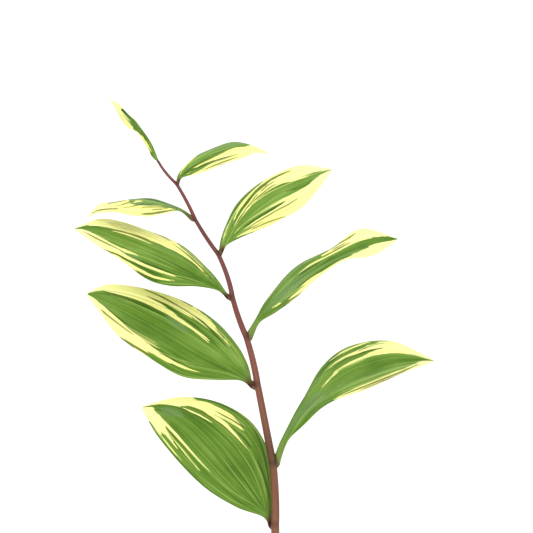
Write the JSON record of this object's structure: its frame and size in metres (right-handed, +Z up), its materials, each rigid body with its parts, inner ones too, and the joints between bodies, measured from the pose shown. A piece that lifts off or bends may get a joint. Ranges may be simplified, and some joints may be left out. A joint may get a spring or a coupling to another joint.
{
  "type": "potted variegated Solomon's seal",
  "caption": "Arching stem of variegated Solomon's seal with cream-edged, lengthwise-veined leaves, growing in soil in a plain terracotta pot.",
  "frame": {"origin": "centre of the pot's underside, on the surface the pot stands on", "axes": "+Z up along the pot's axis, -Y towards the side that the leaves face, +X to the right as seen from that side"},
  "size_m": [0.1798, 0.13, 0.4373],
  "materials": {
    "terracotta": "matt unglazed clay, slightly mottled",
    "soil": "damp, crumbly potting soil",
    "stem": "smooth reddish brown skin, darker at the joints",
    "leaf": "satin green with cream margins and fine lengthwise veins"
  },
  "bodies": {
    "root": {"pot": "terracotta", "soil": "soil", "stem": "stem", "leaf_left_1": "leaf", "leaf_right_1": "leaf", "leaf_left_2": "leaf", "leaf_right_2": "leaf", "leaf_left_3": "leaf", "leaf_right_3": "leaf", "leaf_left_4": "leaf", "leaf_right_4": "leaf", "leaf_top": "leaf"}
  },
  "joints": []
}
